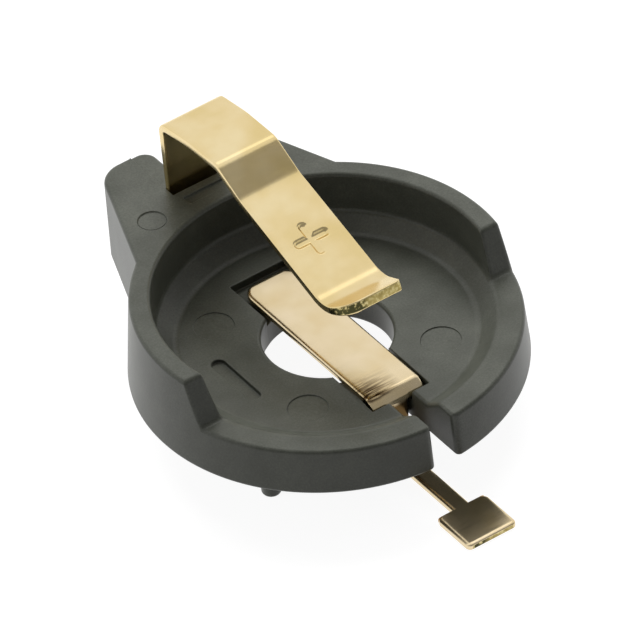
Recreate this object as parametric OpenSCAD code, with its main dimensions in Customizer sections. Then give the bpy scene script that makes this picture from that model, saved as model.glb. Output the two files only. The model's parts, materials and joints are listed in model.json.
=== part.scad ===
// Coin cell holder: a moulded cup that stands on four feet, with a spring blade on its floor and a
// folded spring clip that reaches over the cell. The cell slides in over the low front wall.
// Origin: on the pocket's axis, at the plane that the feet and the solder pads stand on. +Z is up,
// the negative pad points to -Y and the positive pad to +Y.

/* [Cell] */
// Diameter of the coin cell
cell_d = 24.5; // [22:0.5:27]
// Thickness of the coin cell
cell_t = 7.7; // [6.5:0.1:8.5]
// Radial gap between the cell and the pocket wall
cell_gap = 0.25; // [0.1:0.05:0.4]

/* [Cup] */
// Height of the cup's underside over the feet's ends
stand_h = 3.65; // [3:0.05:5]
// Thickness of the floor
floor_t = 2.65; // [2.2:0.05:3.2]
// Height of the low front wall over the floor
low_wall_h = 1.1; // [0.8:0.05:1.6]
// Height of the high rear wall over the floor
high_wall_h = 4.5; // [3.5:0.1:5.5]
// Thickness of the high wall at its rim
wall_t = 1.6; // [1.2:0.05:2]
// How much wider the outer wall is at its foot than at its rim
wall_draft = 0.6; // [0.2:0.05:0.9]
// Width of the sloping ledge between the wall and the floor
ledge_w = 1.5; // [1:0.05:2]
// Radius of the walls' moulded edges
rim_r = 0.3; // [0.1:0.05:0.4]
// How far in front of the axis the high wall's ramps start
ramp_top = 2.3; // [1:0.1:4]
// Length of a ramp along the holder
ramp_run = 1.6; // [1:0.1:3]
// Diameter of the hole in the floor
hole_d = 9.6; // [8:0.1:10.5]
// Radius of the hole's upper edge
hole_edge_r = 0.35; // [0.1:0.05:0.5]

/* [Rear block] */
// Distance from the pocket's wall to the block's rear face
block_reach = 8.4; // [8:0.05:10]
// Width of the block at its rear face
block_rear_w = 10.4; // [9:0.1:12]
// Width of the block where it leaves the round wall
block_root_w = 17.8; // [15:0.1:20]
// Distance from the axis to the place where the block leaves the round wall
block_root_y = 11.1; // [10:0.1:12]
// Radius of the block's two rear corners
ear_r = 2.2; // [1:0.1:2.4]
// Length of the notch in the block's rear face
notch_l = 3.2; // [2:0.05:3.4]
// Radius of the notch's mouth
notch_mouth_r = 1.1; // [0.3:0.1:1.4]
// Depth of the shallow track behind the clip's leg
track_d = 0.15; // [0.1:0.05:0.4]

/* [Feet and marks] */
// Diameter of a foot
foot_d = 1.5; // [1:0.1:2]
// Chamfer at the end of a foot
foot_chamfer = 0.2; // [0.1:0.05:0.3]
// Distance between the left and right feet
foot_pitch_x = 18.7; // [16:0.1:20]
// Distance between the front and rear feet
foot_pitch_y = 11.1; // [8:0.1:14]
// Diameter of the ejector marks on the floor
floor_mark_d = 3; // [2:0.1:3.2]
// Distance from the axis planes to the floor marks
floor_mark_at = 5.9; // [5.2:0.1:6.2]
// Diameter of the ejector marks on the rear block
ear_mark_d = 2.1; // [1.5:0.1:2.4]
// Distance from the axis plane to the rear block's marks
ear_mark_x = 5.4; // [5:0.1:6]
// Depth of the ejector marks
mark_depth = 0.08; // [0.05:0.01:0.15]

/* [Metal] */
// Thickness of the spring metal
metal_t = 0.45; // [0.3:0.05:0.5]
// Gap between the metal and the moulding that guides it
fit_gap = 0.05; // [0.03:0.01:0.1]
// Width of the necks that carry the solder pads
neck_w = 1.45; // [1:0.05:1.8]
// Gap between a neck and the slot that it passes through
neck_gap = 0.2; // [0.1:0.05:0.4]
// Width of a solder pad
pad_w = 4.3; // [3:0.1:5]
// Length of a solder pad
pad_l = 3.9; // [3:0.1:5]
// Corner radius of a solder pad
pad_r = 0.4; // [0.1:0.1:0.8]

/* [Negative contact] */
// Width of the blade
blade_w = 4.5; // [3.5:0.1:5]
// Distance from the axis to the blade's free rear end
blade_rear = 7.7; // [6.5:0.1:8.5]
// Distance from the floor's edge back to the blade's bent front
blade_setback = 2.1; // [1.8:0.1:2.4]
// Corner radius of the blade's free end
blade_r = 0.8; // [0.3:0.1:1.5]
// Height of the blade's turned-down front
blade_drop = 0.8; // [0.75:0.05:0.9]
// Gap round the blade in its channel
channel_gap = 0.25; // [0.15:0.05:0.5]
// Depth of the channel under the blade's spring length
channel_d = 0.7; // [0.6:0.05:0.9]
// Depth of the seat that the blade is held on
seat_d = 0.25; // [0.1:0.05:0.4]
// Length of that seat
seat_l = 2.4; // [1.5:0.1:3]
// Distance from the outer wall to the negative pad
front_pad_gap = 1.25; // [0.8:0.05:2]

/* [Positive clip] */
// Width of the clip's leg and arch
clip_w = 5; // [4:0.1:5.5]
// Width of the clip at its rear bend
bend_w = 5.35; // [4.4:0.05:6]
// Width of the arm at its tip
tip_w = 5.3; // [4.2:0.1:6]
// Distance from the pocket's wall to the leg's rear face
leg_reach = 3.86; // [3.4:0.02:4]
// Free space in front of the leg in its slot
leg_room = 0.58; // [0.3:0.02:0.8]
// How far the fitted cell lifts the tip
clip_lift = 1.45; // [0.8:0.05:2]
// Height of the arch's front fold over the tip
arch_h = 4.6; // [4:0.1:5.5]
// Rise of the arch from its rear bend to its front fold
arch_rise = 0.7; // [0:0.1:1.5]
// How far the middle of the arch bows up over its ends
arch_bow = 0.25; // [0.1:0.05:0.5]
// Distance from the axis to the arch's front fold
arch_y = 8.9; // [8:0.1:10]
// Height of the arm's upper fold over the tip
fold_h = 3.05; // [2.6:0.05:3.5]
// Distance from the axis to the arm's upper fold
fold_y = 6.05; // [5:0.05:7]
// Distance from the axis forward to the tip's bend
tip_y = 3.05; // [1:0.05:4]
// Length of the turned-up lip along the holder
lip_l = 3.3; // [1.5:0.1:3.5]
// Rise of the turned-up lip
lip_h = 0.85; // [0.3:0.05:1.2]
// Corner radius of the lip
lip_r = 0.9; // [0.3:0.1:1.5]
// Distance from the block's rear face to the positive pad
rear_pad_gap = 0.35; // [0.2:0.05:1.5]

/* [Hidden] */
$fn = 96;
over = 1;            // how far a cutting shape passes the face that it cuts
arc_steps = 6;       // straight steps in a rounded corner or a bend
rim_steps = 4;       // straight steps in the rounded upper edge of the rear block

plastic = "#5c5f54";
gold = "#d8b968";

// heights
floor_z = stand_h + floor_t;
low_z = floor_z + low_wall_h;
high_z = floor_z + high_wall_h;
blade_z = floor_z - seat_d + metal_t;
tip_z = blade_z + cell_t - clip_lift + metal_t;
arch_z = tip_z + arch_h;

// radii of the cup
pocket_r = cell_d / 2 + cell_gap;
floor_r = pocket_r - ledge_w;
rim_outer_r = pocket_r + wall_t;
base_r = rim_outer_r + wall_draft;

// places along the holder
block_rear_y = pocket_r + block_reach;
leg_y = pocket_r + leg_reach;
leg_slot_front = leg_y - metal_t - leg_room;
blade_front = floor_r - blade_setback;
channel_front = blade_front + channel_gap;
seat_front = blade_front - metal_t - channel_gap - blade_drop;
front_pad_y = base_r + front_pad_gap;
rear_pad_y = block_rear_y + rear_pad_gap;
slot_w = neck_w + 2 * neck_gap;
mouth_r = slot_w / 4;
notch_y = block_rear_y - notch_l;

// a unit vector at the angle a
function dir(a) = [cos(a), sin(a)];

// the angle of the line from p to q
function heading(p, q) = atan2(q[1] - p[1], q[0] - p[0]);

// the turn from heading a to heading b, between -180 and 180, left turns positive
function turn(a, b) = (b - a + 540) % 360 - 180;

// the arc that rounds the corner at q, moved sideways by o; r is the arc's radius on the line itself
function corner(p, q, s, r, o = 0) =
    let(a = heading(p, q), t = turn(a, heading(q, s)), side = sign(t))
    let(centre = q - r * tan(abs(t) / 2) * dir(a) + side * r * dir(a + 90))
    [for (k = [0:arc_steps]) centre + (o - side * r) * dir(a + t * k / arc_steps + 90)];

// a closed outline with its corners rounded by the radii in the list r
function rounded(pts, r) =
    let(n = len(pts))
    [for (i = [0:n - 1])
        each r[i] > 0 ? corner(pts[(i + n - 1) % n], pts[i], pts[(i + 1) % n], r[i]) : [pts[i]]];

// one face of a bent strip: the path with its bends rounded, moved to the left by o. The list r
// holds the inside radius of each bend, and the path runs along the strip's right-hand face.
function strip_face(path, r, o) =
    let(n = len(path))
    concat(
        [path[0] + o * dir(heading(path[0], path[1]) + 90)],
        [for (i = [1:n - 2])
            let(a = heading(path[i - 1], path[i]), b = heading(path[i], path[i + 1]))
            each corner(path[i - 1], path[i], path[i + 1],
                        r[i - 1] + (turn(a, b) > 0 ? metal_t : 0), o)],
        [path[n - 1] + o * dir(heading(path[n - 2], path[n - 1]) + 90)]);

function reversed(v) = [for (i = [len(v) - 1:-1:0]) v[i]];

// a strip of width w, bent along a path of [y, z] points
module bent_strip(path, r, w) {
    rotate([90, 0, 90])
        linear_extrude(height = w, center = true)
            polygon(concat(strip_face(path, r, 0), reversed(strip_face(path, r, metal_t))));
}

// a block between two corners, the same to the left and to the right
module centred_block(w, y0, y1, z0, z1) {
    translate([-w / 2, y0, z0])
        cube([w, y1 - y0, z1 - z0]);
}

// an upright prism on an outline, from z0 to z1
module prism(outline, z0, z1) {
    translate([0, 0, z0])
        linear_extrude(height = z1 - z0)
            polygon(outline);
}

// the plan of a solder pad whose near edge is at y, reaching away from the axis by pad_l
function pad_outline(y, away) =
    rounded([[-pad_w / 2, y], [-pad_w / 2, y + away * pad_l],
             [pad_w / 2, y + away * pad_l], [pad_w / 2, y]], [pad_r, pad_r, pad_r, pad_r]);

// outer radius of the drafted wall at height z
function outer_r(z) = base_r - wall_draft * (z - stand_h) / (high_z - stand_h);

// half section of the cup with its low wall all round
module low_section() {
    polygon(rounded(
        [[0, stand_h], [outer_r(stand_h), stand_h], [outer_r(low_z), low_z], [pocket_r, low_z],
         [floor_r, floor_z], [0, floor_z]],
        [0, rim_r, rim_r, rim_r / 2, 0, 0]));
}

// half section of the high wall
module high_section() {
    polygon(rounded(
        [[floor_r, stand_h], [outer_r(stand_h), stand_h], [outer_r(high_z), high_z],
         [pocket_r, high_z], [pocket_r, low_z], [floor_r, floor_z]],
        [0, rim_r, rim_r, rim_r, 0, 0]));
}

// everything behind the ramps, which rise from the low wall to the high wall
module behind_ramps() {
    foot = -ramp_top - ramp_run;
    rotate([90, 0, 90])
        linear_extrude(height = 2 * (base_r + over), center = true)
            polygon(rounded(
                [[foot, 0], [foot, low_z], [-ramp_top, high_z + rim_r / 2],
                 [base_r + over, high_z + rim_r / 2], [base_r + over, 0]],
                [0, 0, rim_r, 0, 0]));
}

// plan of the rear block without its notch: tapered sides and rounded ears, drawn in by inset
function block_outline(inset) =
    let(root = block_root_w / 2 - inset, rear = block_rear_w / 2 - inset)
    let(rear_y = block_rear_y - inset, ear = ear_r - inset)
    rounded([[-root, block_root_y], [-rear, rear_y], [rear, rear_y], [root, block_root_y],
             [root, floor_r / 2], [-root, floor_r / 2]],
            [0, ear, ear, 0, 0, 0]);

// the rear block, rounded along its upper edge; it ends within the thickness of the high wall
module rear_block() {
    difference() {
        hull()
            for (k = [0:rim_steps]) {
                inset = rim_r * (1 - cos(90 * k / rim_steps));
                prism(block_outline(inset), stand_h, high_z - rim_r * (1 - sin(90 * k / rim_steps)));
            }
        translate([0, 0, stand_h - over])
            cylinder(r = pocket_r + wall_t / 2, h = high_wall_h + floor_t + 2 * over);
    }
}

// the slot in the block's rear face, with a rounded mouth
module notch_cut() {
    translate([0, 0, stand_h - over])
        linear_extrude(height = high_wall_h + floor_t + 2 * over)
            slot_plan(block_rear_y, notch_y, notch_mouth_r);
}

// plan of a slot from the face at y in to its end, with its mouth rounded by r
module slot_plan(y, end, r) {
    way = sign(y - end);
    mouth_w = slot_w + 2 * r;
    translate([-slot_w / 2, min(end, y + way * over)])
        square([slot_w, abs(y - end) + over]);
    difference() {
        translate([-mouth_w / 2, min(y - way * r, y + way * over)])
            square([mouth_w, r + over]);
        for (side = [-1, 1])
            translate([side * mouth_w / 2, y - way * r])
                circle(r = r);
    }
}

// hole in the floor, with its rounded upper edge
module hole_cut() {
    translate([0, 0, stand_h - over])
        cylinder(d = hole_d, h = floor_t + 2 * over);
    rotate_extrude()
        difference() {
            translate([hole_d / 2 - over, floor_z - hole_edge_r])
                square([hole_edge_r + over, hole_edge_r + over]);
            translate([hole_d / 2 + hole_edge_r, floor_z - hole_edge_r])
                circle(r = hole_edge_r);
        }
}

// the blade's channel, with the seat left standing in it
module channel_cut() {
    w = blade_w + 2 * channel_gap;
    seat_rear = seat_front - seat_l;
    centred_block(w, -seat_rear, blade_rear + 4 * channel_gap, floor_z - channel_d, floor_z + over);
    centred_block(w, -seat_front - over, -seat_rear + over, floor_z - seat_d, floor_z + over);
    centred_block(w, -channel_front, -seat_front, floor_z - channel_d - metal_t / 2, floor_z + over);
}

// slot through the floor and the low wall, with a rounded mouth
module front_slot_cut() {
    translate([0, 0, stand_h - over])
        linear_extrude(height = high_z)
            slot_plan(-outer_r(low_z), -blade_front + metal_t + neck_gap, mouth_r);
}

// slot for the clip's leg, and the shallow track behind it
module leg_cut() {
    w = clip_w + 2 * fit_gap;
    centred_block(w, leg_slot_front, leg_y, stand_h - over, high_z + over);
    centred_block(w, leg_y, block_rear_y + over, high_z - track_d, high_z + over);
}

// shallow round marks that the ejector pins leave
module ejector_marks() {
    for (side = [-1, 1]) {
        for (end = [-1, 1])
            translate([side * floor_mark_at, end * floor_mark_at, floor_z - mark_depth])
                cylinder(d = floor_mark_d, h = over);
        translate([side * ear_mark_x, (pocket_r + leg_slot_front) / 2, high_z - mark_depth])
            cylinder(d = ear_mark_d, h = over);
    }
}

// one round foot, chamfered at its end
module foot() {
    cylinder(d1 = foot_d - 2 * foot_chamfer, d2 = foot_d, h = foot_chamfer);
    translate([0, 0, foot_chamfer])
        cylinder(d = foot_d, h = stand_h + floor_t / 2 - foot_chamfer);
}

// moulded cup with its rear block and feet
module body() {
    color(plastic)
        difference() {
            union() {
                rotate_extrude()
                    low_section();
                intersection() {
                    rotate_extrude()
                        high_section();
                    behind_ramps();
                }
                rear_block();
                for (x = [-1, 1], y = [-1, 1])
                    translate([x * foot_pitch_x / 2, y * foot_pitch_y / 2])
                        foot();
            }
            hole_cut();
            channel_cut();
            front_slot_cut();
            notch_cut();
            leg_cut();
            ejector_marks();
        }
}

// plan of the clip's arch, arm and lip: widest at the rear bend, and wider again at the tip
function clip_outline() =
    let(b = bend_w / 2, c = clip_w / 2, t = tip_w / 2, lip_y = -tip_y - lip_l)
    rounded(
        [[-b, leg_y + over], [-b, leg_y - metal_t], [-c, arch_y], [-c, fold_y], [-t, -tip_y],
         [-t, lip_y], [t, lip_y], [t, -tip_y], [c, fold_y], [c, arch_y], [b, leg_y - metal_t],
         [b, leg_y + over]],
        [0, 0, 0, 0, 0, lip_r, lip_r, 0, 0, 0, 0, 0]);

// front view of the leg: straight in its slot, then widening up to the rear bend
function leg_outline() =
    let(b = bend_w / 2, c = clip_w / 2, wide_z = arch_z - arch_rise)
    [[-c, stand_h], [-c, high_z], [-b, wide_z], [-b, arch_z + arch_bow + over],
     [b, arch_z + arch_bow + over], [b, wide_z], [c, high_z], [c, stand_h]];

// folded spring clip: pad, neck, leg, arch, arm and turned-up lip
module positive_clip() {
    path = [[rear_pad_y + pad_l, metal_t], [leg_y, metal_t], [leg_y, arch_z - arch_rise],
            [(leg_y + arch_y) / 2, arch_z - arch_rise / 2 + arch_bow],
            [arch_y, arch_z], [fold_y, tip_z + fold_h], [-tip_y, tip_z],
            [-tip_y - lip_l, tip_z + lip_h]];
    color(gold)
        intersection() {
            bent_strip(path, [0.4, 0.6, 8, 0.8, 1.5, 0.7], max(tip_w, bend_w));
            union() {
                intersection() {
                    prism(clip_outline(), stand_h, arch_z + arch_bow + over);
                    rotate([90, 0, 0])
                        linear_extrude(height = 4 * block_rear_y, center = true)
                            polygon(leg_outline());
                }
                centred_block(neck_w, leg_y - metal_t - over, rear_pad_y + over, -over, stand_h);
                prism(pad_outline(rear_pad_y, 1), -over, stand_h / 2);
            }
        }
}

// folded spring strip on the floor: blade, turned-down front, neck and pad
module negative_contact() {
    path = [[blade_rear, blade_z], [-blade_front, blade_z], [-blade_front, metal_t],
            [-front_pad_y - pad_l, metal_t]];
    b = blade_w / 2;
    color(gold)
        intersection() {
            bent_strip(path, [0.2, 0.4], blade_w);
            union() {
                prism(rounded([[-b, -blade_front - over], [-b, blade_rear], [b, blade_rear],
                               [b, -blade_front - over]], [0, blade_r, blade_r, 0]),
                      blade_z - blade_drop, blade_z + over);
                centred_block(neck_w, -front_pad_y - over, -blade_front + metal_t + over,
                              -over, blade_z - blade_drop);
                prism(pad_outline(-front_pad_y, -1), -over, stand_h / 2);
            }
        }
}

body();
positive_clip();
negative_contact();
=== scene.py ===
"""A coin cell holder for a circuit board: a dark moulded cup, a gold spring blade on its floor and a
gold folded clip over the cell. Everything is in metres, in the part's own frame: the origin lies on
the pocket's axis at board level, +Z is up and the negative pad points to -Y."""
import json
import math

import bmesh
import bpy
import numpy as np
from mathutils import Matrix, Vector

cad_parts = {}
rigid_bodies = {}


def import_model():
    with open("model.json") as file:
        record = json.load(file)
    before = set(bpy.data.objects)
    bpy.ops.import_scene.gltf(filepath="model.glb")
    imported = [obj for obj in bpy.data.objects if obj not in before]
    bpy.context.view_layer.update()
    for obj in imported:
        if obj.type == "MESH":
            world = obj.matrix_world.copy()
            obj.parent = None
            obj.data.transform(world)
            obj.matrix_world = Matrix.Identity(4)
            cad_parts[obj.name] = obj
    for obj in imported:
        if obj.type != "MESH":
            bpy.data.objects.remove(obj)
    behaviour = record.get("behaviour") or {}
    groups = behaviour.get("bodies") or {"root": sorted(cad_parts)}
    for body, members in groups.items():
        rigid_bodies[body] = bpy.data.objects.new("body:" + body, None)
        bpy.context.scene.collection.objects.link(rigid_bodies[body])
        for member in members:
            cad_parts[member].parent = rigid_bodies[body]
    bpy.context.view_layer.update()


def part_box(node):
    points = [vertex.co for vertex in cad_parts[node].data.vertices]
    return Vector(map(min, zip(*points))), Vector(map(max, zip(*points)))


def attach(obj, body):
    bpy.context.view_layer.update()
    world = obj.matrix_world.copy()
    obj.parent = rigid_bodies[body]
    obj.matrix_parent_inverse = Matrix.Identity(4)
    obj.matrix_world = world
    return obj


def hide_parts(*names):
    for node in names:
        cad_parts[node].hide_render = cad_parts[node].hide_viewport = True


for leftover in list(bpy.data.objects):
    bpy.data.objects.remove(leftover)
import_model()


# ------------------------------------------------------------------------------------------------
# Camera: a long lens from the front left, well above the holder, held a little off level.
MM = 0.001
AIM = Vector((1.61, 3.36, 4.41)) * MM
AZIMUTH, ELEVATION, ROLL = -32.386, 40.448, -4.729
DISTANCE = 821.4 * MM
FOCAL_LENGTH = 635.7        # in millimetres, on a sensor 36 mm wide
camera_data = bpy.data.cameras.new("camera")
camera_data.sensor_width, camera_data.lens = 36.0, FOCAL_LENGTH
camera_data.clip_start, camera_data.clip_end = 0.05, 20.0
camera = bpy.data.objects.new("camera", camera_data)
turn = (Matrix.Rotation(math.radians(AZIMUTH), 4, "Z")
        @ Matrix.Rotation(math.radians(90.0 - ELEVATION), 4, "X")
        @ Matrix.Rotation(math.radians(ROLL), 4, "Z"))
camera.matrix_world = Matrix.Translation(AIM) @ turn @ Matrix.Translation((0, 0, DISTANCE))
bpy.context.scene.collection.objects.link(camera)
bpy.context.scene.camera = camera


# ------------------------------------------------------------------------------------------------
# Moulded cup: one injection moulding in a dark, glass-filled heat-proof plastic, matt from its fine
# spark-eroded mould, with soft edges where the mould was broken in. The metal is pushed into it.
low_corner, high_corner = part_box("body")
FOOT_RADIUS, BLOCK_REAR, RIM_Z = high_corner.x, high_corner.y, high_corner.z
RIM_RADIUS = FOOT_RADIUS - 0.57 * MM                # the draft of the outer wall
UNDERSIDE_Z, FLOOR_Z, LOW_RIM_Z = 3.65 * MM, 6.3 * MM, 7.4 * MM     # over the board
POCKET_RADIUS, FLOOR_RADIUS, HOLE_RADIUS = 12.5 * MM, 11.0 * MM, 4.8 * MM
RAMP_HEAD_Y, RAMP_FOOT_Y = -2.3 * MM, -3.9 * MM     # the high wall slopes down between these
BLOCK_ROOT, BLOCK_REAR_HALF, EAR_RADIUS = (8.9 * MM, 11.1 * MM), 5.2 * MM, 2.2 * MM
HALF_TURN_STEPS = 16        # facets of a rounded end in plan
SLOT_HALF = 0.925 * MM      # the front slot and the notch in the block's rear face
FRONT_SLOT_Y, NOTCH_Y = -8.25 * MM, 17.7 * MM       # their inner ends
NOTCH_MOUTH = 1.1 * MM      # rounding of the notch's mouth
LEG_SLOT = (2.55 * MM, 15.33 * MM, 16.36 * MM)      # half width, front and rear
TRACK_DEPTH, MARK_DEPTH = 0.08 * MM, 0.08 * MM      # rubbed by the leg; left by the ejector pins
CHANNEL_HALF, CHANNEL_REAR, CHANNEL_FRONT, CHANNEL_DEPTH = 2.5 * MM, 8.7 * MM, -9.15 * MM, 0.7 * MM
SEAT_REAR, SEAT_FRONT, SEAT_DEPTH = -5.1 * MM, -7.5 * MM, 0.25 * MM
# clearance in the block's top, before the leg
RELIEF_HALF, RELIEF_Y, RELIEF_DEPTH = 2.15 * MM, (13.7 * MM, 14.6 * MM), 0.2 * MM
# x, y and radius of the ejector marks and of the feet
FLOOR_MARK, EAR_MARK = (5.9 * MM, 5.9 * MM, 1.5 * MM), (5.4 * MM, 13.915 * MM, 1.05 * MM)
FOOT = (9.35 * MM, 5.55 * MM, 0.75 * MM)
# the minus sign sunk into the pocket's floor
SIGN_X, SIGN_LENGTH, SIGN_STROKE, SIGN_DEPTH = -8.1 * MM, 5.4 * MM, 1.1 * MM, 0.28 * MM
MOUTH_EDGE = 0.5 * MM       # rounding of the slots' upright mouths; the other edges take a share
PLAIN_SHARE, FITTED_SHARE, SIGN_SHARE, SHALLOW_SHARE = 0.6, 0.2, 0.16, 0.07
# faces that turn less than the first angle are one, an edge over the second is rounded, and one
# that still turns more than the third stays an edge in the shading
FLAT, SHARP, CREASE = math.radians(0.5), math.radians(28.0), math.radians(35.0)
SHALLOW = 0.3 * MM          # a step less deep than this is a shallow mark
OVER, NEAR, WELD = 1.0 * MM, 0.1 * MM, 0.002 * MM   # a tool's overshoot, and two tolerances
SAME_POINT = 1e-7           # points closer than this, in metres, are one


def mesh_piece(name, verts, faces):
    """A new object from vertices and faces, with doubles merged and its faces turned outwards."""
    mesh = bpy.data.meshes.new(name)
    mesh.from_pydata(np.asarray(verts, float).tolist(), [], faces)
    shape = bmesh.new()
    shape.from_mesh(mesh)
    bmesh.ops.remove_doubles(shape, verts=shape.verts, dist=SAME_POINT)
    bmesh.ops.dissolve_degenerate(shape, edges=shape.edges, dist=SAME_POINT / 10)
    bmesh.ops.recalc_face_normals(shape, faces=shape.faces)
    shape.to_mesh(mesh)
    shape.free()
    piece = bpy.data.objects.new(name, mesh)
    bpy.context.scene.collection.objects.link(piece)
    return piece


def turned(name, section, columns=192):
    """A solid of revolution: section point (r, z) goes to (r cos a, r sin a, z) for a full turn."""
    section = np.array(section)
    angle = (np.arange(columns) + 0.5) * 2 * np.pi / columns
    x = section[:, 0] * np.cos(angle)[:, None]
    y = section[:, 0] * np.sin(angle)[:, None]
    z = np.broadcast_to(section[:, 1], x.shape)
    rows = len(section)
    i, j = np.meshgrid(np.arange(columns), np.arange(rows), indexing="ij")
    i_next, j_next = (i + 1) % columns, (j + 1) % rows
    faces = np.stack([i * rows + j, i_next * rows + j, i_next * rows + j_next, i * rows + j_next],
                     axis=-1).reshape(-1, 4)
    return mesh_piece(name, np.stack([x, y, z], axis=-1).reshape(-1, 3), faces.tolist())


def prism(name, outline, low, high, along=2):
    """An outline carried from low to high along an axis; its two columns are the other two axes
    in their order."""
    outline = np.array(outline)
    n = len(outline)
    verts = np.insert(np.tile(outline, (2, 1)), along, np.repeat([low, high], n), axis=1)
    ring = np.arange(n)
    after = np.roll(ring, -1)
    faces = np.column_stack([ring, after, after + n, ring + n]).tolist()
    return mesh_piece(name, verts, faces + [ring[::-1].tolist(), (ring + n).tolist()])


def bar(name, half, y_low, y_high, z_low, z_high):
    """An upright block, the same to the left and right of the long axis."""
    return prism(name, [(-half, y_low), (half, y_low), (half, y_high), (-half, y_high)],
                 z_low, z_high)


def round_bar(name, x, y, radius, z_low, z_high, length=0.0):
    """A round pin, or a bar with two round ends along Y: half circles of the radius about the ends
    of the middle line."""
    if length:
        half_turn = np.linspace(0.0, np.pi, HALF_TURN_STEPS + 1)
        a = np.concatenate([half_turn, half_turn + np.pi])[:-1]
    else:
        a = np.linspace(0.0, 2 * np.pi, 2 * HALF_TURN_STEPS, endpoint=False)
    reach = length / 2 - radius if length else 0.0
    side = np.where(a <= np.pi, reach, -reach)
    outline = np.column_stack([x + radius * np.cos(a), y + radius * np.sin(a) + side])
    return prism(name, outline, z_low, z_high)


def shape_with(piece, tool, operation):
    """Joins the tool to the piece or cuts it away, and deletes the tool."""
    change = piece.modifiers.new(tool.name, "BOOLEAN")
    change.operation, change.solver, change.object = operation, "EXACT", tool
    apply_modifiers(piece)
    bpy.data.objects.remove(tool)


def apply_modifiers(piece):
    """Applies the piece's modifiers by taking its evaluated mesh."""
    shown = piece.evaluated_get(bpy.context.evaluated_depsgraph_get())
    mesh = bpy.data.meshes.new_from_object(shown)
    piece.modifiers.clear()
    piece.data = mesh


def block_outline():
    """Plan of the rear block: straight tapered sides, and two ears rounded by an arc that touches
    the side and the rear face."""
    side = np.array([BLOCK_REAR_HALF, BLOCK_REAR]) - np.array(BLOCK_ROOT)
    side = side / np.linalg.norm(side)
    lean = np.arctan2(-side[0], side[1])
    swing = np.linspace(lean, np.pi / 2, HALF_TURN_STEPS)
    cut = EAR_RADIUS * np.tan((np.pi / 2 - lean) / 2)
    start = np.array([BLOCK_REAR_HALF, BLOCK_REAR]) - cut * side
    centre = start - EAR_RADIUS * np.array([np.cos(lean), np.sin(lean)])
    ear = centre + EAR_RADIUS * np.column_stack([np.cos(swing), np.sin(swing)])
    right = np.concatenate([[[BLOCK_ROOT[0], 0.0], BLOCK_ROOT], ear])
    return np.concatenate([right, right[::-1] * (-1, 1)])


def notch_outline(steps=14):
    """Plan of the notch in the block's rear face: straight sides that open by quarter circles."""
    a = np.linspace(0.0, np.pi / 2, steps)
    mouth = np.column_stack([SLOT_HALF + NOTCH_MOUTH * (1 - np.cos(a)),
                             BLOCK_REAR - NOTCH_MOUTH * (1 - np.sin(a))])
    right = np.concatenate([[[SLOT_HALF, NOTCH_Y]], mouth,
                            [[SLOT_HALF + NOTCH_MOUTH, BLOCK_REAR + OVER]]])
    return np.concatenate([right, right[::-1] * (-1, 1)])


def cup_solid():
    """The moulding with sharp edges: the drafted round wall and the block, less the pocket, the
    space over the low wall, the hole, the slots, the blade's channel and the shallow marks."""
    piece = turned("cup", [(0, UNDERSIDE_Z), (FOOT_RADIUS, UNDERSIDE_Z), (RIM_RADIUS, RIM_Z),
                           (0, RIM_Z)])
    shape_with(piece, prism("block", block_outline(), UNDERSIDE_Z, RIM_Z), "UNION")
    cuts = [
        turned("pocket", [(0, FLOOR_Z), (FLOOR_RADIUS, FLOOR_Z), (POCKET_RADIUS, LOW_RIM_Z),
                          (POCKET_RADIUS, RIM_Z + OVER), (0, RIM_Z + OVER)]),
        prism("clearing", [(-FOOT_RADIUS - OVER, LOW_RIM_Z), (RAMP_FOOT_Y, LOW_RIM_Z),
                           (RAMP_HEAD_Y, RIM_Z), (RAMP_HEAD_Y, RIM_Z + OVER),
                           (-FOOT_RADIUS - OVER, RIM_Z + OVER)],
              -FOOT_RADIUS - OVER, FOOT_RADIUS + OVER, 0),
        turned("hole", [(0, 0), (HOLE_RADIUS, 0), (HOLE_RADIUS, RIM_Z), (0, RIM_Z)], 96),
        bar("channel", CHANNEL_HALF, SEAT_REAR, CHANNEL_REAR, FLOOR_Z - CHANNEL_DEPTH, RIM_Z),
        bar("seat", CHANNEL_HALF, CHANNEL_FRONT, SEAT_REAR + OVER, FLOOR_Z - SEAT_DEPTH, RIM_Z),
        bar("drop", CHANNEL_HALF, CHANNEL_FRONT, SEAT_FRONT,
            FLOOR_Z - CHANNEL_DEPTH - SEAT_DEPTH, RIM_Z),
        bar("front_slot", SLOT_HALF, -FOOT_RADIUS - OVER, FRONT_SLOT_Y, 0, RIM_Z + OVER),
        prism("notch", notch_outline(), 0, RIM_Z + OVER),
        bar("leg_slot", *LEG_SLOT, 0, RIM_Z + OVER),
        bar("track", LEG_SLOT[0], LEG_SLOT[2] - OVER / 2, BLOCK_REAR + OVER, RIM_Z - TRACK_DEPTH,
            RIM_Z + OVER),
        bar("relief", RELIEF_HALF, *RELIEF_Y, RIM_Z - RELIEF_DEPTH, RIM_Z + OVER),
        round_bar("minus", SIGN_X, 0.0, SIGN_STROKE / 2, FLOOR_Z - SIGN_DEPTH, RIM_Z, SIGN_LENGTH),
    ]
    for side in (-1, 1):
        for end in (-1, 1):
            cuts.append(round_bar("mark", side * FLOOR_MARK[0], end * FLOOR_MARK[1], FLOOR_MARK[2],
                                  FLOOR_Z - MARK_DEPTH, FLOOR_Z + OVER))
            shape_with(piece, round_bar("foot", side * FOOT[0], end * FOOT[1], FOOT[2], 0.0,
                                    UNDERSIDE_Z + OVER), "UNION")
        cuts.append(round_bar("ear_mark", side * EAR_MARK[0], EAR_MARK[1], EAR_MARK[2],
                              RIM_Z - MARK_DEPTH, RIM_Z + OVER))
    for cut in cuts:
        shape_with(piece, cut, "DIFFERENCE")
    return piece


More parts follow.
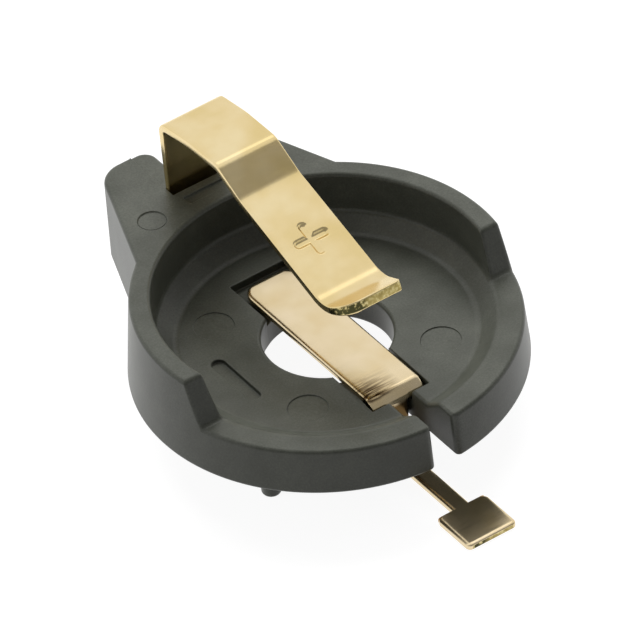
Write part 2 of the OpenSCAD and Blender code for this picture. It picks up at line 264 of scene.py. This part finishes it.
def face_depth(face, edge):
    """How far the face reaches away from the edge, measured square to it."""
    a, b = (v.co for v in edge.verts)
    along = (b - a).normalized()
    return max(((v.co - a) - along * (v.co - a).dot(along)).length for v in face.verts)


def edge_share(edge):
    """The share of the mouth's rounding that a sharp edge takes: all of it on the slots' upright
    mouths, least on shallow steps, little round the fitted metal, and the plain share elsewhere."""
    start, end = (vert.co for vert in edge.verts)
    x, y, z = (start + end) / 2
    aside = abs(x)
    upright = abs(start.z - end.z) > 0.9 * edge.calc_length()
    if min(face_depth(face, edge) for face in edge.link_faces) < SHALLOW:
        in_sign = abs(x - SIGN_X) < SIGN_STROKE and abs(y) < SIGN_LENGTH
        in_relief = RELIEF_Y[0] - OVER < y < RELIEF_Y[1] + OVER and z > RIM_Z - OVER
        return SIGN_SHARE if in_sign or in_relief else SHALLOW_SHARE
    if upright and aside < SLOT_HALF + NEAR and y < -POCKET_RADIUS - NEAR:
        return 1.0
    leg_half, _, leg_rear = LEG_SLOT
    if abs(aside - leg_half) < NEAR and y > leg_rear + NEAR:
        return SHALLOW_SHARE
    round_leg = aside < leg_half + NEAR and RELIEF_Y[1] - NEAR < y < leg_rear + NEAR
    in_channel = aside < CHANNEL_HALF + NEAR and CHANNEL_FRONT - NEAR < y < CHANNEL_REAR + NEAR
    return FITTED_SHARE if round_leg or in_channel else PLAIN_SHARE


def is_sharp(edge):
    """Whether the two faces at the edge meet at a corner."""
    return len(edge.link_faces) == 2 and edge.calc_face_angle() > SHARP


def round_edges(piece):
    """Welds flat stretches into single faces, draws vertices that lie close to a corner onto it,
    gives each sharp edge its share, rounds them all and clears the slivers that this leaves."""
    shape = bmesh.new()
    shape.from_mesh(piece.data)
    bmesh.ops.remove_doubles(shape, verts=shape.verts, dist=WELD)
    bmesh.ops.dissolve_limit(shape, angle_limit=FLAT, verts=shape.verts, edges=shape.edges)
    sharp = {edge for edge in shape.edges if is_sharp(edge)}
    corners = {v for v in shape.verts if sum(edge in sharp for edge in v.link_edges) > 2}
    for corner in corners:
        for edge in corner.link_edges:
            other = edge.other_vert(corner)
            if other not in corners and edge.calc_length() < SHALLOW:
                other.co = corner.co
    bmesh.ops.remove_doubles(shape, verts=shape.verts, dist=SAME_POINT)
    bmesh.ops.dissolve_degenerate(shape, edges=shape.edges, dist=SAME_POINT)
    weight = shape.edges.layers.float.new("bevel_weight_edge")
    for edge in filter(is_sharp, shape.edges):
        edge[weight] = edge_share(edge)
    shape.to_mesh(piece.data)
    shape.free()
    rounding = piece.modifiers.new("moulded_edges", "BEVEL")
    rounding.width, rounding.segments, rounding.limit_method = MOUTH_EDGE, 4, "WEIGHT"
    rounding.use_clamp_overlap = False
    apply_modifiers(piece)
    shape = bmesh.new()
    shape.from_mesh(piece.data)
    bmesh.ops.dissolve_degenerate(shape, edges=shape.edges, dist=2 * SAME_POINT)
    shape.to_mesh(piece.data)
    shape.free()
    piece.data.shade_smooth()
    piece.data.set_sharp_from_angle(angle=CREASE)
    even = piece.modifiers.new("even_normals", "WEIGHTED_NORMAL")
    even.keep_sharp = True
    apply_modifiers(piece)


def linear(hex_colour):
    """sRGB hex colour as linear RGBA: each channel is c / 12.92 below 0.04045 and
    ((c + 0.055) / 1.055) ** 2.4 above it."""
    c = np.array([int(hex_colour[i:i + 2], 16) for i in (1, 3, 5)]) / 255
    c = np.where(c <= 0.04045, c / 12.92, ((c + 0.055) / 1.055) ** 2.4)
    return (*c, 1.0)


def add_node(tree, kind, values=None, links=None, **settings):
    """Adds one node: settings are its attributes, values fill its input sockets and links join
    other nodes' output sockets to its inputs."""
    node = tree.nodes.new(kind)
    for name, value in settings.items():
        setattr(node, name, value)
    for name, value in (values or {}).items():
        node.inputs[name].default_value = value
    for name, socket in (links or {}).items():
        tree.links.new(socket, node.inputs[name])
    return node


def new_material(name):
    """An empty node material and its tree."""
    material = bpy.data.materials.new(name)
    material.use_nodes = True
    material.node_tree.nodes.clear()
    return material, material.node_tree


def spread_ramp(ramp, stops):
    """Sets a colour ramp's stops from (position, hex colour) pairs."""
    elements = ramp.color_ramp.elements
    while len(elements) < len(stops):
        elements.new(0.5)
    for element, (position, colour) in zip(elements, stops):
        element.position = position
        element.color = linear(colour)


def moulded_plastic():
    """Glass-filled heat-proof plastic, injection moulded: nearly black green-grey and matt. The
    mould's spark-eroded grain is drawn coarser than it is, 6.5 to a millimetre, so that it shows,
    over faint flow clouds of some 2.4 mm."""
    material, tree = new_material("moulded_plastic")
    place = add_node(tree, "ShaderNodeTexCoord").outputs["Object"]
    clouds = add_node(tree, "ShaderNodeTexNoise", {"Scale": 0.42 / MM, "Detail": 3.0},
                      {"Vector": place})
    grain = add_node(tree, "ShaderNodeTexNoise", {"Scale": 6.5 / MM, "Detail": 2.0,
                                                  "Roughness": 0.7}, {"Vector": place})
    both = add_node(tree, "ShaderNodeMix", {"Factor": 0.55},
                    {2: clouds.outputs["Fac"], 3: grain.outputs["Fac"]})
    tint = add_node(tree, "ShaderNodeValToRGB", links={"Fac": both.outputs[0]})
    spread_ramp(tint, [(0.36, "#44463d"), (0.5, "#4d4f47"), (0.66, "#595b52")])
    rough = add_node(tree, "ShaderNodeMapRange", {"To Min": 0.28, "To Max": 0.42},
                     {"Value": grain.outputs["Fac"]})
    bump = add_node(tree, "ShaderNodeBump", {"Strength": 0.18, "Distance": 0.03 * MM},
                    {"Height": grain.outputs["Fac"]})
    shader = add_node(tree, "ShaderNodeBsdfPrincipled", {"IOR": 1.52, "Specular IOR Level": 0.36},
                      {"Base Color": tint.outputs["Color"], "Roughness": rough.outputs["Result"],
                       "Normal": bump.outputs["Normal"]})
    add_node(tree, "ShaderNodeOutputMaterial", links={"Surface": shader.outputs["BSDF"]})
    return material


cup = cup_solid()
round_edges(cup)
cup.data.materials.clear()
cup.data.materials.append(moulded_plastic())
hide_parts("body")
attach(cup, "root")


# ------------------------------------------------------------------------------------------------
# Negative contact: a strip punched from copper alloy sheet, gold plated, then folded: the blade
# under the cell, its turned-down front, and the neck with the solder pad in front of the cup.
SHEET = 0.45 * MM           # thickness of the sheet
# width and depth of the outer face's rolled edge, and radius of the other face's broken edge
SPRING_ROLL = (0.34 * MM, 0.12 * MM, 0.05 * MM)
NECK = 1.45 * MM            # width of the neck
PAD_LENGTH, PAD_WIDTH, PAD_CORNER = 3.9 * MM, 4.3 * MM, 0.4 * MM
BLADE_FOLD, BLADE_FRONT = -8.1 * MM, -8.95 * MM     # y of the two folds at the blade's front
BLADE_CORNER = 1.25 * MM    # radius of its rear corners
BLADE_SLOPE = 0.48 * MM     # fall of the sloping front between its two folds
BLADE_DROP = 0.8 * MM       # full width down to here under the blade's top
CUT_EDGE = math.radians(65.0)       # faces that meet at more than this show an edge
BEAD_REACH = 1.7 * MM       # length over which a thicker end swells
STEP = 0.02 * MM            # length of a shoulder's slope, nearly square
RING_STEP, COLUMNS = 0.15 * MM, 24      # grid of the outer face: along the strip, and across
DARK_REFLECTION_END = ("X", -0.3 * MM, -0.8 * MM)         # a cut edge painted dark to the left, a painted dark reflection
CONTACT_FOLDS = (0.1 * MM, 0.15 * MM, 0.4 * MM)     # inside radii, from the blade to the pad
ROLL_STEPS, BURR_STEPS, UNDER_STEPS = 7, 4, 10      # points of a section's roundings and underside


def bend_line(corners, inside):
    """The route of a folded strip's outer face as pieces of constant curvature: straights between
    the corners, and at each corner an arc whose inner side has the given radius. Each row holds the
    start's distance, y, z, heading and curvature; the last value is the whole length."""
    corners = np.asarray(corners, float)
    heading = np.arctan2(*(np.diff(corners, axis=0).T[::-1]))
    rows, at, gone = [], corners[0], 0.0
    for i, corner in enumerate(corners[1:-1]):
        bend = (heading[i + 1] - heading[i] + np.pi) % (2 * np.pi) - np.pi
        radius = inside[i] + (SHEET if bend > 0 else 0.0)
        cut = radius * np.tan(abs(bend) / 2)
        way = np.array([np.cos(heading[i]), np.sin(heading[i])])
        start = corner - cut * way
        rows.append([gone, *at, heading[i], 0.0])
        gone += np.dot(start - at, way)
        rows.append([gone, *start, heading[i], np.sign(bend) / radius])
        gone += radius * abs(bend)
        at = corner + cut * np.array([np.cos(heading[i + 1]), np.sin(heading[i + 1])])
    rows.append([gone, *at, heading[-1], 0.0])
    return np.array(rows), gone + np.linalg.norm(corners[-1] - at)


def along_line(line, distance, inset):
    """Points y, z at the given distances along a bend line, moved to its left by inset. On a piece
    of curvature k the point is start + (sin(a + k d) - sin a, cos a - cos(a + k d)) / k."""
    row = line[np.clip(np.searchsorted(line[:, 0], distance, "right") - 1, 0, None)]
    d, a, k = distance - row[..., 0], row[..., 3], row[..., 4]
    curved = np.abs(k) > 0
    safe = np.where(curved, k, 1.0)
    end = a + k * d
    y = row[..., 1] + np.where(curved, (np.sin(end) - np.sin(a)) / safe, d * np.cos(a))
    z = row[..., 2] + np.where(curved, (np.cos(a) - np.cos(end)) / safe, d * np.sin(a))
    return y - inset * np.sin(end), z + inset * np.cos(end)


def distance_to(line, length, value, column, count=4000):
    """Distance along the line at which its y (column 0) or z (column 1) first passes a value."""
    d = np.linspace(0, length, count)
    reached = along_line(line, d, np.zeros(count))[column]
    return d[np.argmax(np.sign(reached - value) != np.sign(reached[0] - value))]


def rounding(distance, width, depth):
    """How far a rounded edge lies under its face at a distance in from the edge:
    depth * (1 - sqrt(1 - t ** 2)), where t goes from 1 at the edge to 0 at the width."""
    t = np.clip(1 - distance / width, 0, 1)
    return depth * (1 - np.sqrt(1 - t ** 2))


def plan_stations(length, step, marks, corners, roll):
    """Distances along a strip at which it gets a ring: even steps, the marks of its plan, and close
    ones in its rounded corners and rolled ends."""
    close = 1 - np.cos(np.linspace(0, np.pi / 2, ROLL_STEPS))
    rows = [np.arange(0, length, step), np.array(marks)[:, 0], roll * close,
            length - roll * close]
    rows += [at + way * radius * close for at, radius, way in corners]
    stations = np.unique(np.round(np.concatenate(rows), 8))
    return stations[(stations >= 0) & (stations <= length)]


def half_width(stations, marks, corners):
    """Half width of a strip's plan: straight between the marks (distance, half width), less the
    rounding of each corner (distance, radius, way in which the strip goes on from it)."""
    half = np.interp(stations, *np.array(marks).T)
    for at, radius, way in corners:
        inside = way * (stations - at)
        half = half - np.where(inside >= -1e-9, rounding(inside, radius, radius), 0)
    return half


def punched_strip(name, line, total, stations, left, right, across, edge, bead=0.0, burr_drop=0.0,
                  dent=None):
    """A folded strip as one closed surface. Ring i lies at stations[i] along the line. Its section
    runs over the outer face at the shares `across` of the half width, round the rolled edge, a
    quarter ellipse, down the side, round the burr, a quarter circle, and back along the other face.
    Both ends roll down in the same way, and the last one swells by the bead. The torn burr hangs by
    burr_drop below the sides, one value for each ring, and dent gives the depth pressed into the
    outer face. Side faces of the bead, and both ends, take the second material."""
    roll_width, roll_depth, burr_size = edge
    from_end = np.minimum(stations, total - stations)[:, None]
    top = rounding(from_end, roll_width, roll_depth)
    back = rounding(from_end, burr_size, burr_size)
    swell = np.clip(1 - (total - stations[:, None]) / BEAD_REACH, 0, 1)
    thick = SHEET + bead * swell * swell * (3 - 2 * swell)
    middle, half = (right - left)[:, None] / 2, (right + left)[:, None] / 2
    over, under = half - roll_width, half - burr_size
    roll, burr = np.linspace(0, np.pi / 2, ROLL_STEPS), np.linspace(0, np.pi / 2, BURR_STEPS)
    low, ones = np.linspace(1, -1, UNDER_STEPS), np.ones_like(half)
    x = middle + np.concatenate([
        over * across, over + roll_width * np.sin(roll[1:]), half,
        under + burr_size * np.cos(burr[1:]), under * low[1:],
        -under - burr_size * np.sin(burr[1:]), -half, -over - roll_width * np.cos(roll[1:-1])],
        axis=1)
    hang = np.reshape(burr_drop * np.ones(len(stations)), (-1, 1))
    broken = thick + hang - burr_size
    depth = np.concatenate([
        top + 0 * across, top + (roll_depth - top) * (1 - np.cos(roll[1:])), broken,
        broken + (burr_size - back) * np.sin(burr[1:]), thick - back + hang * swell + 0 * low[1:-1],
        thick + hang - back, broken + (burr_size - back) * np.cos(burr[1:]), roll_depth * ones,
        top + (roll_depth - top) * (1 - np.sin(roll[1:-1]))], axis=1)
    s = np.broadcast_to(stations[:, None], x.shape)
    if dent is not None:
        columns = len(across)
        depth[:, :columns] += dent(x[:, :columns], s[:, :columns])
    y, z = along_line(line, s, depth)
    rings, around = x.shape
    i, j = np.meshgrid(np.arange(rings - 1), np.arange(around), indexing="ij")
    k = (j + 1) % around
    faces = np.stack([i * around + j, i * around + k, (i + 1) * around + k, (i + 1) * around + j],
                     axis=-1).reshape(-1, 4).tolist()
    faces += [np.arange(around)[::-1].tolist(), (np.arange(around) + (rings - 1) * around).tolist()]
    piece = mesh_piece(name, np.stack([x, y, z], axis=-1).reshape(-1, 3), faces)
    piece.data.shade_smooth()
    piece.data.set_sharp_from_angle(angle=CUT_EDGE)
    sheared = np.zeros((rings - 1, around), dtype=bool)
    sides = [len(across) + len(roll) - 2, around - len(roll)]
    sheared[np.ix_(stations[:-1] > total - BEAD_REACH if bead else [], sides)] = True
    piece.data.polygons.foreach_set("material_index", np.append(sheared.ravel(), [1, 1]))
    return piece


def share_within(tree, place, spans):
    """A share of 0 to 1 by place: the product of one slope for each span, which gives its axis, the
    value where the share is 0 and the value where it is 1."""
    axes = add_node(tree, "ShaderNodeSeparateXYZ", links={"Vector": place}).outputs
    share = None
    for axis, none_at, full_at in spans:
        slope = add_node(tree, "ShaderNodeMapRange", {"From Min": none_at, "From Max": full_at},
                         {"Value": axes[axis]}).outputs["Result"]
        if share is not None:
            slope = add_node(tree, "ShaderNodeMath", operation="MULTIPLY",
                             links={0: share, 1: slope}).outputs["Value"]
        share = slope
    return share


def stain_or_shade(tree, colour, stain, share):
    """The colour, with a hex colour over it by a share: a real stain, painted shade or a painted
    dark reflection.
    """
    return add_node(tree, "ShaderNodeMix", {"B": linear(stain)}, data_type="RGBA",
                    links={"Factor": share, "A": colour}).outputs["Result"]


def plated_gold(name, colours, bruise=(), painted_shade=()):
    """Gold plate over rolled copper alloy: pale warm metal, satin from the rolled sheet. Its roll
    lines, 7 to a millimetre, are drawn coarser than they are so that they show, and a slow waviness
    of some 3 mm bends its reflections. bruise holds the spans where the folding tool left fine
    brown lines across the strip. Over the spans of the last argument the metal is painted a darker
    brown, as painted shade."""
    material, tree = new_material(name)
    place = add_node(tree, "ShaderNodeTexCoord").outputs["Object"]
    stretch = add_node(tree, "ShaderNodeMapping", {"Scale": (0.06, 1.0, 1.0)}, {"Vector": place})
    lines = add_node(tree, "ShaderNodeTexNoise", {"Scale": 7.0 / MM, "Detail": 3.0},
                     {"Vector": stretch.outputs["Vector"]})
    waves = add_node(tree, "ShaderNodeTexNoise", {"Scale": 0.33 / MM, "Detail": 2.0},
                     {"Vector": place})
    tint = add_node(tree, "ShaderNodeValToRGB", links={"Fac": waves.outputs["Fac"]})
    spread_ramp(tint, list(zip((0.3, 0.5, 0.7), colours)))
    colour = tint.outputs["Color"]
    rough = add_node(tree, "ShaderNodeMapRange", {"To Min": 0.14, "To Max": 0.26},
                     {"Value": lines.outputs["Fac"]})
    if bruise:
        hatch_place = add_node(tree, "ShaderNodeMapping", {"Scale": (0.11, 1.0, 0.2)},
                               {"Vector": place})
        hatch = add_node(tree, "ShaderNodeTexNoise", {"Scale": 4.6 / MM, "Detail": 1.5},
                         {"Vector": hatch_place.outputs["Vector"]})
        scratch = add_node(tree, "ShaderNodeMapRange",
                           {"From Min": 0.42, "From Max": 0.54, "To Min": 0.25, "To Max": 1.0},
                           {"Value": hatch.outputs["Fac"]})
        share = add_node(tree, "ShaderNodeMath", operation="MULTIPLY", links={
            0: share_within(tree, place, bruise), 1: scratch.outputs["Result"]})
        colour = stain_or_shade(tree, colour, "#3f270b", share.outputs["Value"])
    # painted shade: a darker brown over the given spans stands in for the shade that falls on the
    # metal there
    if painted_shade:
        colour = stain_or_shade(tree, colour, "#5f4a2a", share_within(tree, place, painted_shade))
    fine = add_node(tree, "ShaderNodeBump", {"Strength": 0.05, "Distance": 0.01 * MM},
                    {"Height": lines.outputs["Fac"]})
    slow = add_node(tree, "ShaderNodeBump", {"Strength": 0.25, "Distance": 0.1 * MM},
                    {"Height": waves.outputs["Fac"], "Normal": fine.outputs["Normal"]})
    shader = add_node(tree, "ShaderNodeBsdfPrincipled", {"Metallic": 1.0},
                      {"Base Color": colour, "Roughness": rough.outputs["Result"],
                       "Normal": slow.outputs["Normal"]})
    add_node(tree, "ShaderNodeOutputMaterial", links={"Surface": shader.outputs["BSDF"]})
    return material


def sheared_edge():
    """Edge cut after plating: bare copper alloy, torn by the shear, so rougher and more olive, with
    a grain of 0.25 mm that glints. Its left end is painted nearly black in specks, a painted dark
    reflection."""
    material, tree = new_material("sheared_edge")
    place = add_node(tree, "ShaderNodeTexCoord").outputs["Object"]
    torn = add_node(tree, "ShaderNodeTexNoise", {"Scale": 4.0 / MM, "Detail": 2.0},
                    {"Vector": place})
    tint = add_node(tree, "ShaderNodeValToRGB", links={"Fac": torn.outputs["Fac"]})
    spread_ramp(tint, [(0.3, "#958552"), (0.52, "#ab9a60"), (0.7, "#cfc28f")])
    speck = add_node(tree, "ShaderNodeMapRange", {"From Min": 0.6, "From Max": 0.5, "To Max": 0.85},
                     {"Value": torn.outputs["Fac"]})
    # painted dark reflection: the cut edge goes nearly black in specks towards its left end
    painted_reflection = add_node(tree, "ShaderNodeMath", operation="MULTIPLY", links={
        0: share_within(tree, place, [DARK_REFLECTION_END]), 1: speck.outputs["Result"]})
    colour = stain_or_shade(tree, tint.outputs["Color"], "#1f2a1c", painted_reflection.outputs["Value"])
    bump = add_node(tree, "ShaderNodeBump", {"Strength": 0.1, "Distance": 0.05 * MM},
                    {"Height": torn.outputs["Fac"]})
    shader = add_node(tree, "ShaderNodeBsdfPrincipled", {"Metallic": 1.0, "Roughness": 0.3},
                      {"Base Color": colour, "Normal": bump.outputs["Normal"]})
    add_node(tree, "ShaderNodeOutputMaterial", links={"Surface": shader.outputs["BSDF"]})
    return material


low_corner, high_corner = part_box("negative_contact")
blade_end, blade_top, pad_end = high_corner.y, high_corner.z, low_corner.y
blade_half = high_corner.x
contact_line, contact_length = bend_line(
    [(blade_end, blade_top), (BLADE_FOLD, blade_top), (BLADE_FRONT, blade_top - BLADE_SLOPE),
     (BLADE_FRONT, SHEET), (pad_end, SHEET)], CONTACT_FOLDS)
shoulder = distance_to(contact_line, contact_length, blade_top - BLADE_DROP, 1)
pad_start = contact_length - PAD_LENGTH
marks = [(0, blade_half), (shoulder, blade_half), (shoulder + STEP, NECK / 2),
         (pad_start - STEP, NECK / 2), (pad_start, PAD_WIDTH / 2), (contact_length, PAD_WIDTH / 2)]
corners = [(0, BLADE_CORNER, 1), (contact_length, PAD_CORNER, -1), (pad_start, PAD_CORNER, 1)]
stations = plan_stations(contact_length, RING_STEP, marks, corners, SPRING_ROLL[0])
half = half_width(stations, marks, corners)
contact = punched_strip("negative_spring", contact_line, contact_length, stations, half, half,
                        np.linspace(-1, 1, COLUMNS), SPRING_ROLL)
# tool marks on the blade's top before its fold, and painted brown shade on the neck between blade
# and pad
tool_marks = [("Y", -5.6 * MM, -7.4 * MM), ("X", 1.0 * MM, -1.3 * MM),
              ("Z", blade_top - 0.2 * MM, blade_top - 0.1 * MM)]
neck_painted_shade = [("Z", blade_top - 0.7 * MM, blade_top - 1.1 * MM),
                ("Z", SHEET + 0.1 * MM, SHEET + 0.6 * MM)]
contact.data.materials.append(plated_gold("folded_gold", ["#dfc99d", "#e3d0aa", "#e8d6b4"],
                                          tool_marks, neck_painted_shade))
cut_metal = sheared_edge()
contact.data.materials.append(cut_metal)
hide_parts("negative_contact")
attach(contact, "root")


# ------------------------------------------------------------------------------------------------
# Positive clip: the same plated sheet, folded into a pad, a neck, the leg that stands in the rear
# block, an arch, and the long arm with its turned-up tip. A plus sign is pressed into the arm.
low_corner, high_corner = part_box("positive_clip")
clip_pad_end, clip_low_end = high_corner.y, low_corner.y
CLIP_HALF, BEND_HALF, ARM_HALF, TIP_HALF = 2.5 * MM, 2.675 * MM, 2.63 * MM, 2.7 * MM
LEG_Y = 16.36 * MM          # the leg's rear face
LEG_SHOULDER, LEG_WIDENS = 3.65 * MM, 10.8 * MM     # heights at which the leg changes its width
TIP_Z, TIP_Y, TIP_DIP = 13.2 * MM, -3.85 * MM, 0.25 * MM       # the fold before the lip
# the arch: its height over TIP_Z, its fall to the rear, the bow of that side, and its front fold
ARCH_HEIGHT, ARCH_RISE, ARCH_BOW, ARCH_Y = 4.6 * MM, 0.7 * MM, 0.25 * MM, 8.9 * MM
FOLD_Y, FOLD_HEIGHT = 6.05 * MM, 3.05 * MM          # the fold between arch and arm, over TIP_Z
LIP_HEIGHT = 1.12 * MM
LIP_LEFT, LIP_RIGHT, LIP_BEAD = 1.8 * MM, 0.4 * MM, 0.2 * MM   # corner radii and thicker end
CLIP_ROLL = (0.13 * MM, 0.09 * MM, 0.1 * MM)        # its three sizes are those of SPRING_ROLL
CLIP_BURR = 0.19 * MM       # the burr hangs this far below the sides
CLIP_FOLDS = np.array([0.4, 0.6, 8.0, 1.1, 3.5, 2.6]) * MM     # inside radii, pad to lip
PLUS_Y, PLUS_REACH, PLUS_STROKE, PLUS_DEPTH = 1.05 * MM, 1.42 * MM, 0.29 * MM, 0.18 * MM
PLUS_WALL = 0.3 * MM        # width of the slope round the plus sign
PLUS_RINGS, PLUS_COLUMNS, SIDE_COLUMNS = 76, 70, 8      # a finer grid under the sign
CLIP_RING_STEP = 0.14 * MM  # spacing of the other rings
arch_z, tip_z = TIP_Z + ARCH_HEIGHT, TIP_Z - TIP_DIP
bend_z = arch_z - ARCH_RISE
lip_slope = math.atan2(LIP_HEIGHT, TIP_Y - clip_low_end)
lip_end = clip_low_end + SHEET * math.sin(lip_slope)
clip_line, clip_length = bend_line(
    [(clip_pad_end, SHEET), (LEG_Y, SHEET), (LEG_Y, bend_z),
     ((LEG_Y + ARCH_Y) / 2, arch_z - ARCH_RISE / 2 + ARCH_BOW), (ARCH_Y, arch_z),
     (FOLD_Y, TIP_Z + FOLD_HEIGHT), (TIP_Y, tip_z),
     (lip_end, tip_z + (TIP_Y - lip_end) * math.tan(lip_slope))], CLIP_FOLDS)
leg_start, leg_widens, bend_at = (
    distance_to(clip_line, clip_length, z, 1) for z in (LEG_SHOULDER, LEG_WIDENS, bend_z))
arch_at, fold_at, tip_at, plus_at = (
    distance_to(clip_line, clip_length, y, 0) for y in (ARCH_Y, FOLD_Y, TIP_Y, PLUS_Y))


def plus_dent(x, distance):
    """Depth of the pressed plus sign: full within a stroke's half width of either bar's middle
    line, falling to nothing over the width of its wall by a cosine."""
    d = distance - plus_at
    across = np.hypot(np.clip(np.abs(x) - PLUS_REACH + PLUS_STROKE, 0, None), d)
    along = np.hypot(np.clip(np.abs(d) - PLUS_REACH + PLUS_STROKE, 0, None), x)
    outside = (np.minimum(across, along) - PLUS_STROKE) / PLUS_WALL + 0.5
    return PLUS_DEPTH * (0.5 + 0.5 * np.cos(np.pi * np.clip(outside, 0, 1)))


marks = [(0, PAD_WIDTH / 2), (PAD_LENGTH, PAD_WIDTH / 2), (PAD_LENGTH + STEP, NECK / 2),
         (leg_start - STEP, NECK / 2), (leg_start, CLIP_HALF), (leg_widens, CLIP_HALF),
         (bend_at, BEND_HALF), (arch_at, ARM_HALF), (fold_at, ARM_HALF), (tip_at, TIP_HALF),
         (clip_length, TIP_HALF)]
pad_corners = [(0, PAD_CORNER, 1), (PAD_LENGTH, PAD_CORNER, -1)]
left_corners = pad_corners + [(clip_length, LIP_LEFT, -1)]
right_corners = pad_corners + [(clip_length, LIP_RIGHT, -1)]
stations = plan_stations(clip_length, CLIP_RING_STEP, marks, left_corners + right_corners,
                         CLIP_ROLL[0])
sign_rings = np.round(plus_at + np.linspace(-1.1, 1.1, PLUS_RINGS) * PLUS_REACH, 8)
stations = np.unique(np.concatenate([stations, sign_rings]))
sign_share = (PLUS_REACH + PLUS_WALL) / (CLIP_HALF - CLIP_ROLL[0])
clip_across = np.concatenate([np.linspace(-1, -sign_share, SIDE_COLUMNS)[:-1],
                              np.linspace(-sign_share, sign_share, PLUS_COLUMNS),
                              np.linspace(sign_share, 1, SIDE_COLUMNS)[1:]])
burr_drop = CLIP_BURR * np.clip((stations - leg_widens) / (bend_at - leg_widens), 0, 1)
clip = punched_strip("positive_spring", clip_line, clip_length, stations,
                     half_width(stations, marks, left_corners),
                     half_width(stations, marks, right_corners),
                     clip_across, CLIP_ROLL, LIP_BEAD, burr_drop, plus_dent)
clip.data.materials.append(plated_gold("plated_gold", ["#dfc88e", "#e5cf9b", "#ead7a9"]))
clip.data.materials.append(cut_metal)
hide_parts("positive_clip")
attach(clip, "root")


# ------------------------------------------------------------------------------------------------
# Floor and light: a pale sheet under the holder, a soft lamp behind and above it, a weaker one from
# each side, a small one overhead that the folds of the metal catch, and a white room. A dark card,
# seen only by reflection, hangs over the front.
FLOOR_DROP = 0.05 * MM      # the floor lies this far under the feet and pads


def pale_floor():
    """Grey matt card that keeps the holder's shadow, with a glow over it that is seen by the eye
    and in reflections, as white, and throws no light on the holder."""
    material, tree = new_material("pale_floor")
    card = add_node(tree, "ShaderNodeBsdfDiffuse", {"Color": linear("#808080")})
    path = add_node(tree, "ShaderNodeLightPath")
    seen = add_node(tree, "ShaderNodeMath", operation="ADD", use_clamp=True, links={
        0: path.outputs["Is Camera Ray"], 1: path.outputs["Is Glossy Ray"]})
    glow = add_node(tree, "ShaderNodeEmission", {"Strength": 0.92})
    dark = add_node(tree, "ShaderNodeEmission", {"Strength": 0.0})
    lit = add_node(tree, "ShaderNodeMixShader", links={
        0: seen.outputs["Value"], 1: dark.outputs["Emission"], 2: glow.outputs["Emission"]})
    both = add_node(tree, "ShaderNodeAddShader",
                    links={0: card.outputs["BSDF"], 1: lit.outputs["Shader"]})
    add_node(tree, "ShaderNodeOutputMaterial", links={"Surface": both.outputs["Shader"]})
    return material


def flat_sheet(name, x_half, y_low, y_high, z, material):
    """A level rectangular sheet that isn't part of the holder."""
    mesh = bpy.data.meshes.new(name)
    mesh.from_pydata([(-x_half, y_low, z), (x_half, y_low, z), (x_half, y_high, z),
                      (-x_half, y_high, z)], [], [(0, 1, 2, 3)])
    mesh.materials.append(material)
    sheet = bpy.data.objects.new(name, mesh)
    bpy.context.scene.collection.objects.link(sheet)
    return sheet


def dark_card():
    """Dark matt card, an even grey in reflections."""
    material, tree = new_material("dark_card")
    paint = add_node(tree, "ShaderNodeBsdfDiffuse", {"Color": linear("#3a3a3a")})
    grey = add_node(tree, "ShaderNodeEmission", {"Strength": 0.34})
    path = add_node(tree, "ShaderNodeLightPath")
    face = add_node(tree, "ShaderNodeMixShader", links={
        0: path.outputs["Is Glossy Ray"], 1: paint.outputs["BSDF"], 2: grey.outputs["Emission"]})
    add_node(tree, "ShaderNodeOutputMaterial", links={"Surface": face.outputs["Shader"]})
    return material


flat_sheet("floor", 3.0, -3.0, 3.0, -FLOOR_DROP, pale_floor())
flat_sheet("dark_card", 1.2, -1.4, -0.02, 0.4, dark_card()).visible_camera = False


def soft_lamp(name, place, width, height, watts, mirrored):
    """A rectangular lamp at a place in metres, turned to the holder; metal shows it if mirrored."""
    data = bpy.data.lights.new(name, "AREA")
    data.shape, data.size, data.size_y, data.energy = "RECTANGLE", width, height, watts
    lamp = bpy.data.objects.new(name, data)
    lamp.location = place
    lamp.rotation_mode = "QUATERNION"
    lamp.rotation_quaternion = (AIM - Vector(place)).to_track_quat("-Z", "Y")
    lamp.visible_glossy = mirrored
    bpy.context.scene.collection.objects.link(lamp)


soft_lamp("rear_lamp", (0.22, 0.42, 0.5), 0.7, 0.5, 5.5, mirrored=False)
soft_lamp("left_lamp", (-0.55, 0.10, 0.25), 0.4, 0.4, 0.9, mirrored=False)
soft_lamp("right_lamp", (0.55, -0.10, 0.22), 0.4, 0.4, 0.8, mirrored=False)
soft_lamp("overhead_lamp", (0.205, 0.20, 0.41), 0.12, 0.11, 0.021, mirrored=True)

world = bpy.data.worlds.new("room")
world.use_nodes = True
room = world.node_tree
room.nodes.clear()
path = add_node(room, "ShaderNodeLightPath")
seen = add_node(room, "ShaderNodeMath", operation="ADD", links={
    0: path.outputs["Is Camera Ray"], 1: path.outputs["Is Glossy Ray"]})
shown = add_node(room, "ShaderNodeMath", operation="ADD", use_clamp=True, links={
    0: seen.outputs["Value"], 1: path.outputs["Is Transmission Ray"]})
white = (1.0, 1.0, 1.0, 1.0)
lighting = add_node(room, "ShaderNodeBackground", {"Color": white, "Strength": 0.29})
backdrop = add_node(room, "ShaderNodeBackground", {"Color": white, "Strength": 1.0})
mixed = add_node(room, "ShaderNodeMixShader", links={
    0: shown.outputs["Value"], 1: lighting.outputs["Background"],
    2: backdrop.outputs["Background"]})
add_node(room, "ShaderNodeOutputWorld", links={"Surface": mixed.outputs["Shader"]})
bpy.context.scene.world = world
bpy.context.scene.view_settings.view_transform = "Standard"
